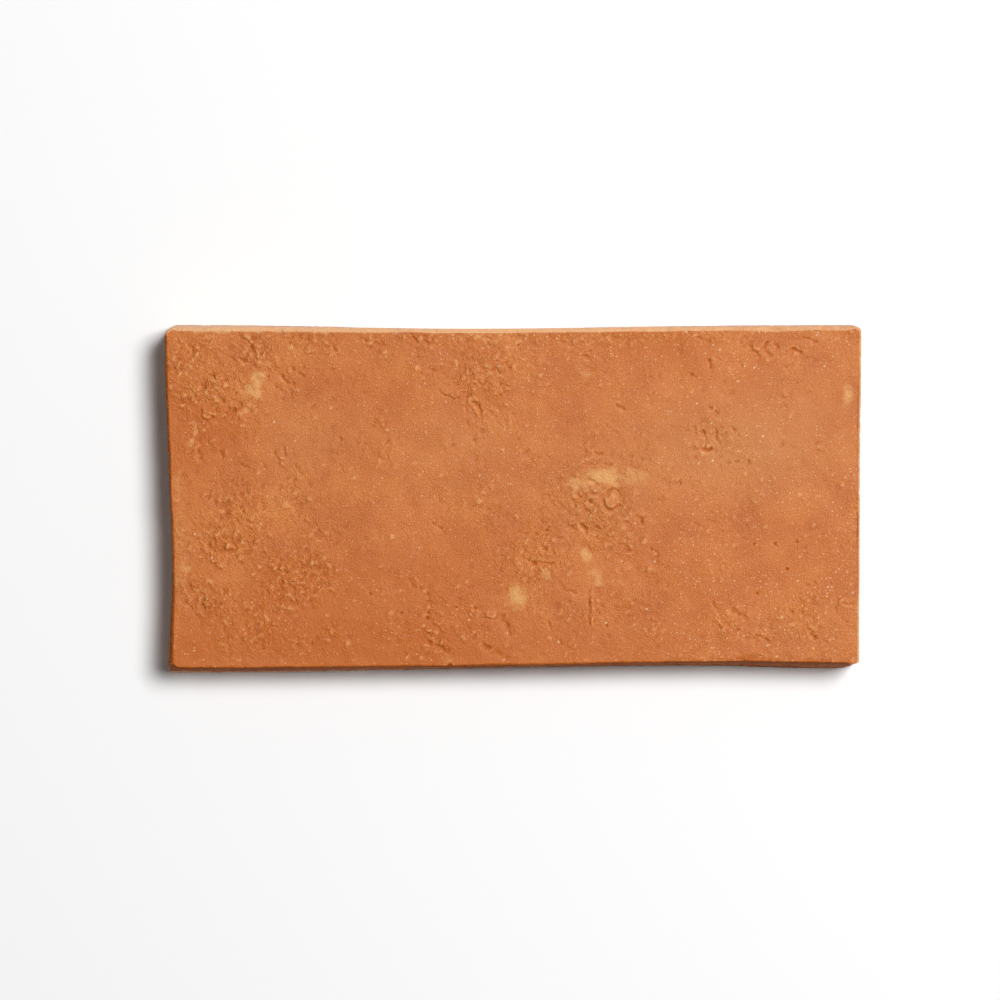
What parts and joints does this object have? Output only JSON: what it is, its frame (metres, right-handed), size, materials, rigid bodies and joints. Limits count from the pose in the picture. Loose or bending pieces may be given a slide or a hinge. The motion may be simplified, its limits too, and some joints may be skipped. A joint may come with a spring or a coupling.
{
  "type": "terracotta tile",
  "caption": "Handmade rectangular terracotta tile with a gently rolling struck face, eased edges, bowed sides that flare to the foot, and a flat back for bedding.",
  "frame": {"origin": "middle of the flat back, at the centre of the tile's outline", "axes": "+X along the length, +Y across the width towards the far long side, +Z out of the struck face"},
  "size_m": [0.2, 0.101, 0.0159],
  "materials": {
    "fired_clay": "matte"
  },
  "bodies": {
    "root": {"terracotta_tile": "fired_clay"}
  },
  "joints": []
}
